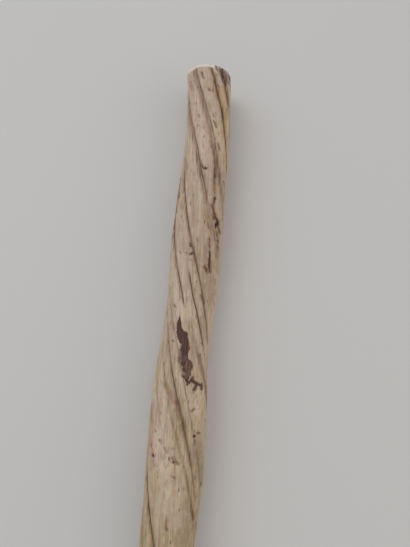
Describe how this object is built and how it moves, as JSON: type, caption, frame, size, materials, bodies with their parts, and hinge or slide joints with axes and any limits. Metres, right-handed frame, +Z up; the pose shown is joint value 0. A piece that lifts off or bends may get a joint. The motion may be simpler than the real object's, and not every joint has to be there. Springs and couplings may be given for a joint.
{
  "type": "narwhal tusk",
  "caption": "Whole narwhal tusk lying on its side: a long, slightly bowed ivory tusk with left-handed spiral grooves, a flat worn root end and a smooth tip.",
  "frame": {"origin": "on the surface the tusk lies on, under the middle of its bounding box", "axes": "+X along the tusk from the root end to the tip, +Z up, +Y to the side that the tusk bows towards"},
  "size_m": [1.9202, 0.0758, 0.0596],
  "materials": {
    "ivory": null
  },
  "bodies": {
    "root": {"tusk": "ivory"}
  },
  "joints": []
}
